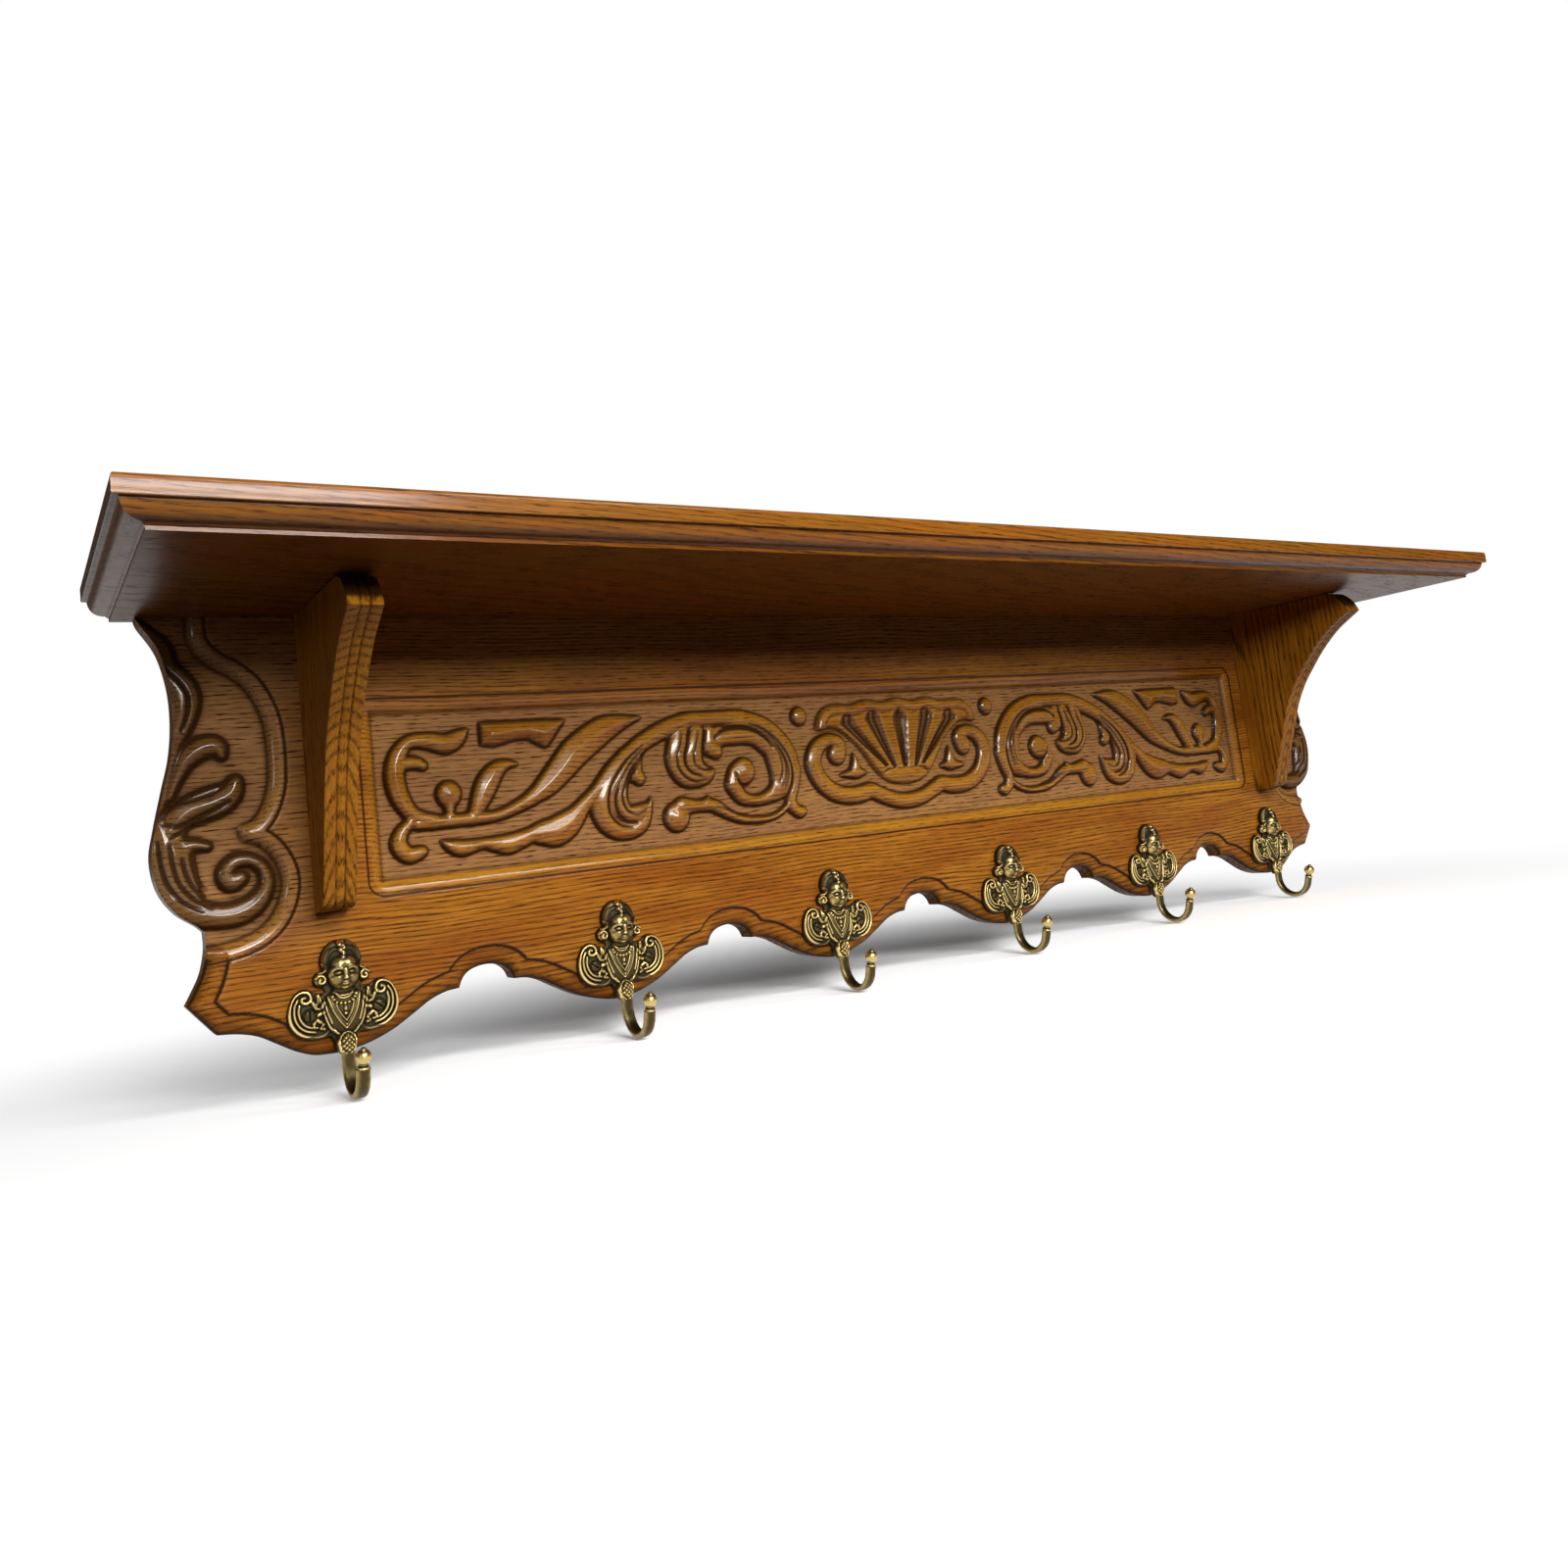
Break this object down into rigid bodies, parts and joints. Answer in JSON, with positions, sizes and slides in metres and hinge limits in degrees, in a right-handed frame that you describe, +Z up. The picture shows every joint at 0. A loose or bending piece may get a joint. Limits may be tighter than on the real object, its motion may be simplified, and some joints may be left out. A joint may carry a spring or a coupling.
{
  "type": "wall coat rack with shelf",
  "caption": "Carved oak wall coat rack: a moulded shelf on scrolled brackets over a scalloped back board with a row of cast brass cherub hooks.",
  "frame": {"origin": "on the wall plane behind the back board, at mid-length, at the height of the two keyhole plates (40 mm below the underside of the shelf)", "axes": "+X along the rack, towards the right seen from the room; +Y into the wall, so the front faces -Y; +Z up"},
  "size_m": [1.15, 0.2046, 0.3036],
  "materials": {
    "oak": "golden brown stained oak, open grain, satin lacquer",
    "beech": "plain turned beech, unfinished",
    "brass": "antiqued cast brass, dark in the recesses and rubbed bright on the high spots",
    "dark_brass": "antiqued brass, darkened",
    "steel": "zinc plated steel"
  },
  "bodies": {
    "root": {"shelf_board": "oak", "back_board": "oak", "bracket_left": "oak", "bracket_right": "oak", "hook_1": "brass", "hook_knob_1": "dark_brass", "hook_screw_1_left": "dark_brass", "hook_screw_1_right": "dark_brass", "hook_2": "brass", "hook_knob_2": "dark_brass", "hook_screw_2_left": "dark_brass", "hook_screw_2_right": "dark_brass", "hook_3": "brass", "hook_knob_3": "dark_brass", "hook_screw_3_left": "dark_brass", "hook_screw_3_right": "dark_brass", "hook_4": "brass", "hook_knob_4": "dark_brass", "hook_screw_4_left": "dark_brass", "hook_screw_4_right": "dark_brass", "hook_5": "brass", "hook_knob_5": "dark_brass", "hook_screw_5_left": "dark_brass", "hook_screw_5_right": "dark_brass", "hook_6": "brass", "hook_knob_6": "dark_brass", "hook_screw_6_left": "dark_brass", "hook_screw_6_right": "dark_brass", "shelf_dowel_1": "beech", "shelf_dowel_2": "beech", "shelf_dowel_3": "beech", "shelf_dowel_4": "beech", "shelf_dowel_5": "beech", "bracket_dowel_left_1": "beech", "bracket_screw_left_1": "steel", "hanger_screw_left_1": "steel", "bracket_dowel_left_2": "beech", "bracket_screw_left_2": "steel", "hanger_screw_left_2": "steel", "hanger_plate_left": "steel", "bracket_dowel_right_1": "beech", "bracket_screw_right_1": "steel", "hanger_screw_right_1": "steel", "bracket_dowel_right_2": "beech", "bracket_screw_right_2": "steel", "hanger_screw_right_2": "steel", "hanger_plate_right": "steel"}
  },
  "joints": []
}
